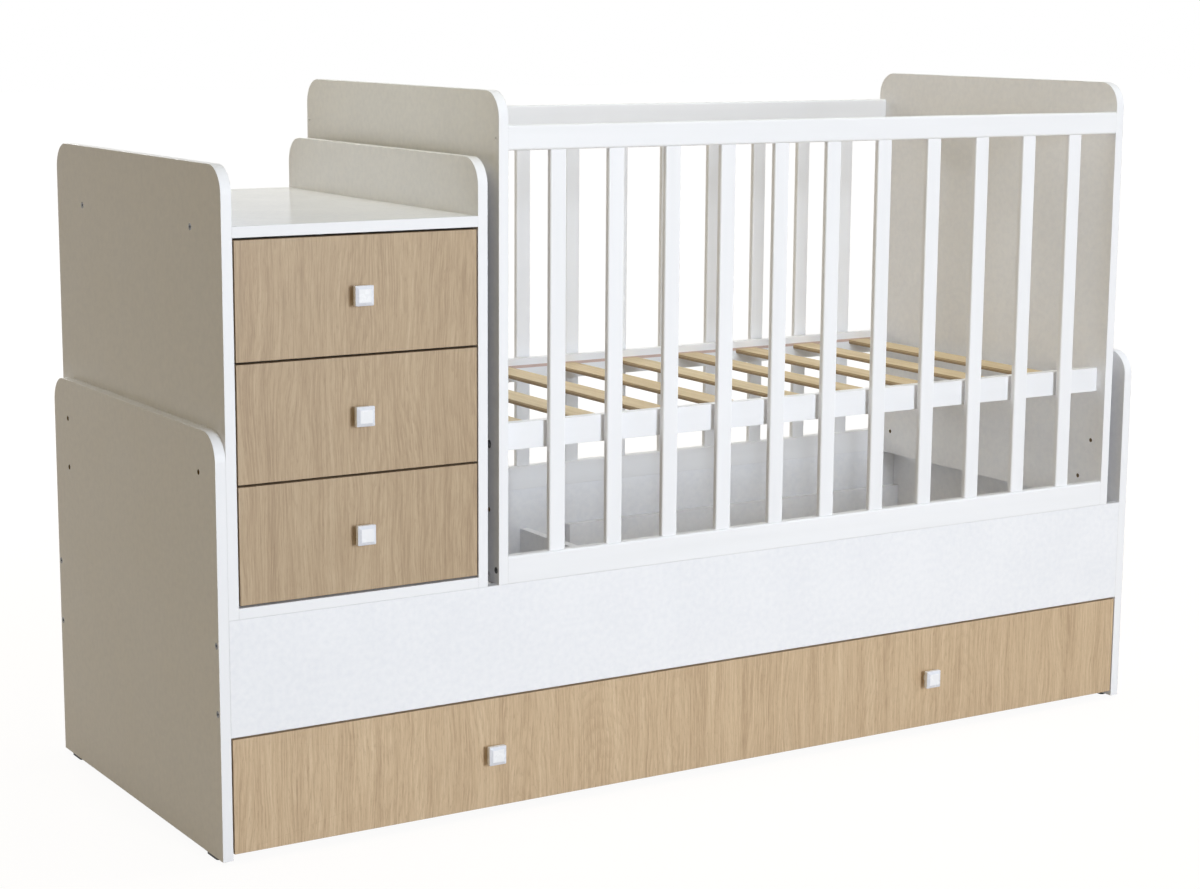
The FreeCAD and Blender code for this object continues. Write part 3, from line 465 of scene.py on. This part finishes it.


# Knobs: square white plastic, moulded in one piece with a sloping border and a turned neck.
# A satin gloss with the faintest flow marks, a bluish grey shade painted on the sloping border and a grey
# shade painted along the rims.
# A screw from behind the front holds each one.
def knob_finish():
    finish, shader = start_finish("white_knob_plastic", Coat_Weight=0.25, Coat_Roughness=0.12)
    texture = step(finish, "TexCoord", {})
    place = texture["Object"]
    flow = grain_noise(finish, place, 0.010, detail=3.0, distortion=0.8)
    mould = grain_noise(finish, place, 0.0008, detail=1.0)
    rounded, near_rim = soft_rim(finish, 0.0014)
    white = shades(finish, flow, (0.3, tint(0.845, 0.85, 0.868)), (0.7, tint(0.88, 0.885, 0.90)))
    forward = sums(finish, "ABSOLUTE", step(finish, "SeparateXYZ", {"Vector": texture["Normal"]})["Y"])
    # Painted shade: the sloping border is tinted bluish grey.
    border_slope, either_way = 0.887, 0.08
    shaded_border = sums(finish, "COMPARE", forward, border_slope)
    shaded_border.node.inputs[2].default_value = either_way
    border_shade_painted = over(finish, sums(finish, "MULTIPLY", shaded_border, 0.7), white, tint(0.66, 0.68, 0.76))
    # Painted shade: the rims get a grey shadow line.
    rimmed = over(finish, sums(finish, "MULTIPLY", near_rim, 0.40), border_shade_painted, tint(0.58, 0.60, 0.67))
    wire(finish, rimmed, shader, "Base Color")
    wire(finish, between(finish, flow, 0.22, 0.32), shader, "Roughness")
    relief(finish, shader, mould, 0.00004, rounded, 0.4)
    return finish


knob_white = knob_finish()
for drawer in drawers:
    dress(drawer + "_knob", knob_white)

# Long drawer: one oak-grain front over a divided box of white laminate that rolls on castors.
# Two hardboard bottoms lie in grooves, and two laminate bearers under them carry the castors.
low_front_tone = 1.12
oak_decor("low_drawer_front", low_front_tone)
for wall, thin in (("low_drawer_sides", "X"), ("low_drawer_back", "Y"), ("low_drawer_divider", "X"),
                   ("low_drawer_bearers", "Z")):
    laminate(wall, thin)
hardboard("low_drawer_bottom", "Z", 1.0)
dress("low_drawer_knobs", knob_white)
dress("low_drawer_screws", bright_zinc)


# Castors: folded steel forks with riveted axles, screwed under the bearers, and dark nylon wheels.
# The wheels are moulded with dished sides, and their treads are dusty and scuffed from the floor.
def wheel_finish(node):
    finish, shader = start_finish("nylon_" + node, Specular_IOR_Level=0.4)
    place = step(finish, "TexCoord", {})["Object"]
    low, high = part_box(node)
    axle = (low + high) / 2
    at = step(finish, "SeparateXYZ", {"Vector": place})
    away = step(finish, "CombineXYZ", {"Y": sums(finish, "SUBTRACT", at["Y"], axle.y),
                                       "Z": sums(finish, "SUBTRACT", at["Z"], axle.z)})["Vector"]
    radius = step(finish, "VectorMath", {0: away}, operation="LENGTH")["Value"]
    tread_radius = (high.z - low.z) / 2
    tread = between(finish, radius, 0.0, 1.0, tread_radius * 0.93, tread_radius)
    dust = grain_noise(finish, place, 0.003, detail=5.0)
    mould = grain_noise(finish, place, 0.0006, detail=2.0)
    grime = sums(finish, "MULTIPLY", tread, dust)
    nylon = shades(finish, dust, (0.3, tint(0.022, 0.022, 0.024)), (0.7, tint(0.034, 0.034, 0.037)))
    wire(finish, over(finish, grime, nylon, tint(0.16, 0.15, 0.14)), shader, "Base Color")
    wire(finish, between(finish, grime, 0.42, 0.8), shader, "Roughness")
    rounded = soft_rim(finish, 0.0004)[0]
    relief(finish, shader, mould, 0.00008, rounded, 0.5)
    dress(node, finish)


dress("castor_forks", zinc("fork_zinc", pale=0.56, dull=0.40))
for row in ("front", "rear"):
    for half in ("left", "right"):
        wheel_finish("castor_wheel_%s_%s" % (row, half))

# Studio: a plain pale floor under the crib and soft boxes around it, the main one in front.
# The main box stands before the middle, and lesser ones light the tray, the bed, the right and the rear.
# Camera rays see the floor and the room as white, and the floor keeps the crib's soft shadow.
floor_half = 30.0
floor_mesh = bpy.data.meshes.new("studio_floor")
corners = [(-floor_half, -floor_half, 0), (floor_half, -floor_half, 0), (floor_half, floor_half, 0),
           (-floor_half, floor_half, 0)]
floor_mesh.from_pydata(corners, [], [(0, 1, 2, 3)])
studio_floor = bpy.data.objects.new("studio_floor", floor_mesh)
bpy.context.scene.collection.objects.link(studio_floor)


def seen_directly(tree):
    """1 for rays from the camera, a gloss or a clear piece, 0 for light that is scattered."""
    ray = tree.nodes.new("ShaderNodeLightPath")
    total = ray.outputs["Is Camera Ray"]
    for kind in ("Is Glossy Ray", "Is Transmission Ray"):
        both = tree.nodes.new("ShaderNodeMath")
        both.operation = "MAXIMUM"
        tree.links.new(total, both.inputs[0])
        tree.links.new(ray.outputs[kind], both.inputs[1])
        total = both.outputs[0]
    return total


floor_finish = bpy.data.materials.new("pale_floor")
floor_finish.use_nodes = True
floor_tree = floor_finish.node_tree
floor_tree.nodes.clear()
matt = floor_tree.nodes.new("ShaderNodeBsdfDiffuse")
matt.inputs["Color"].default_value = tint(0.47, 0.40, 0.32)
glow = floor_tree.nodes.new("ShaderNodeEmission")
glow.inputs["Strength"].default_value = 1.17
near_floor = floor_tree.nodes.new("ShaderNodeTexCoord")
reach = floor_tree.nodes.new("ShaderNodeVectorMath")
reach.operation = "LENGTH"
floor_tree.links.new(near_floor.outputs["Object"], reach.inputs[0])
whiter = floor_tree.nodes.new("ShaderNodeMapRange")
shadow_reach, plain_reach = 1.3, 3.4
for socket, value in (("From Min", shadow_reach), ("From Max", plain_reach), ("To Min", 0.80),
                      ("To Max", 0.855)):
    whiter.inputs[socket].default_value = value
floor_tree.links.new(reach.outputs["Value"], whiter.inputs["Value"])
share = floor_tree.nodes.new("ShaderNodeMath")
share.operation = "MULTIPLY"
floor_tree.links.new(seen_directly(floor_tree), share.inputs[0])
floor_tree.links.new(whiter.outputs["Result"], share.inputs[1])
mixed = floor_tree.nodes.new("ShaderNodeMixShader")
floor_tree.links.new(share.outputs[0], mixed.inputs[0])
floor_tree.links.new(matt.outputs[0], mixed.inputs[1])
floor_tree.links.new(glow.outputs[0], mixed.inputs[2])
floor_out = floor_tree.nodes.new("ShaderNodeOutputMaterial")
floor_tree.links.new(mixed.outputs[0], floor_out.inputs["Surface"])
floor_mesh.materials.append(floor_finish)

room = bpy.data.worlds.new("studio_room")
room.use_nodes = True
room_tree = room.node_tree
dim = room_tree.nodes["Background"]
dim.inputs["Strength"].default_value = 0.42
toward = room_tree.nodes.new("ShaderNodeTexCoord")
across = room_tree.nodes.new("ShaderNodeSeparateXYZ")
room_tree.links.new(toward.outputs["Generated"], across.inputs[0])
side_light = room_tree.nodes.new("ShaderNodeMapRange")
for socket, value in (("From Min", -0.75), ("From Max", 0.05)):
    side_light.inputs[socket].default_value = value
room_tree.links.new(across.outputs["X"], side_light.inputs["Value"])
walls = room_tree.nodes.new("ShaderNodeValToRGB")
walls.color_ramp.elements[0].color = tint(0.57, 0.395, 0.085)
walls.color_ramp.elements[1].color = tint(0.92, 0.96, 0.98)
room_tree.links.new(side_light.outputs["Result"], walls.inputs[0])
room_tree.links.new(walls.outputs["Color"], dim.inputs["Color"])
white = room_tree.nodes.new("ShaderNodeBackground")
white.inputs["Color"].default_value = tint(1.0, 1.0, 1.0)
white.inputs["Strength"].default_value = 1.0
both = room_tree.nodes.new("ShaderNodeMixShader")
room_tree.links.new(seen_directly(room_tree), both.inputs[0])
room_tree.links.new(dim.outputs[0], both.inputs[1])
room_tree.links.new(white.outputs[0], both.inputs[2])
room_tree.links.new(both.outputs[0], room_tree.nodes["World Output"].inputs["Surface"])
bpy.context.scene.world = room


def soft_box(name, place, aim, wide, high, watts, colour, grid=180.0):
    """A lamp behind a screen; a grid of fewer degrees keeps its light off what stands beside the aim."""
    lamp = bpy.data.lights.new(name, "AREA")
    lamp.spread = math.radians(grid)
    lamp.shape = "RECTANGLE"
    lamp.size = wide
    lamp.size_y = high
    lamp.energy = watts
    lamp.color = colour
    box = bpy.data.objects.new(name, lamp)
    box.visible_camera = False
    box.location = place
    box.rotation_euler = (Vector(aim) - Vector(place)).to_track_quat("-Z", "Y").to_euler()
    bpy.context.scene.collection.objects.link(box)


crib_middle = (0.0, 0.0, 0.55)
above_tray, above_bed = (0.1, 0.0, 1.2), (0.36, 0.1, 0.6)
cool, straw, pale_green, warm = (0.840, 0.908, 1.0), (1.0, 0.99, 0.82), (0.98, 1.0, 0.93), (1.0, 0.98, 0.95)
soft_box("front_box", (-0.1, -6.0, 1.5), crib_middle, wide=1.3, high=1.8, watts=244.5, colour=cool)
soft_box("tray_box", (-0.82, 0.0, 1.5), above_tray, wide=1.8, high=0.20, watts=1.6, colour=straw)
soft_box("bed_box", (0.36, 0.2, 4.4), above_bed, wide=1.4, high=1.4, watts=3.3, colour=pale_green, grid=40.0)
soft_box("right_box", (5.0, -0.8, 1.6), crib_middle, wide=1.6, high=1.6, watts=75.0, colour=warm)
soft_box("rear_box", (-0.4, 4.8, 2.4), crib_middle, wide=1.8, high=1.4, watts=105.0, colour=warm)

# Camera: stands in front of the left end, a little above the crib, and looks along its length.
# Its place and its lens were worked out from the corners of the panels in the photograph.
camera_place = Vector((-2.1919, -3.4502, 1.2143))
camera_turn = math.radians(31.975)       # to the right of straight back
camera_dip = math.radians(10.0664)       # below level
camera_lean = math.radians(0.406)
lens_length = 73.746                     # millimetres on a 36 mm wide picture
view = Vector((math.sin(camera_turn) * math.cos(camera_dip), math.cos(camera_turn) * math.cos(camera_dip),
               -math.sin(camera_dip)))
level_right = Vector((math.cos(camera_turn), -math.sin(camera_turn), 0.0))
level_up = level_right.cross(view)
right = level_right * math.cos(camera_lean) + level_up * math.sin(camera_lean)
up = level_up * math.cos(camera_lean) - level_right * math.sin(camera_lean)
camera = bpy.data.objects.new("photo_camera", bpy.data.cameras.new("photo_camera"))
camera.data.lens = lens_length
camera.data.sensor_width = 36.0
camera.data.sensor_fit = "HORIZONTAL"
camera.matrix_world = Matrix.Translation(camera_place) @ Matrix((right, up, -view)).transposed().to_4x4()
bpy.context.scene.collection.objects.link(camera)
bpy.context.scene.camera = camera
bpy.context.scene.view_settings.view_transform = "Standard"
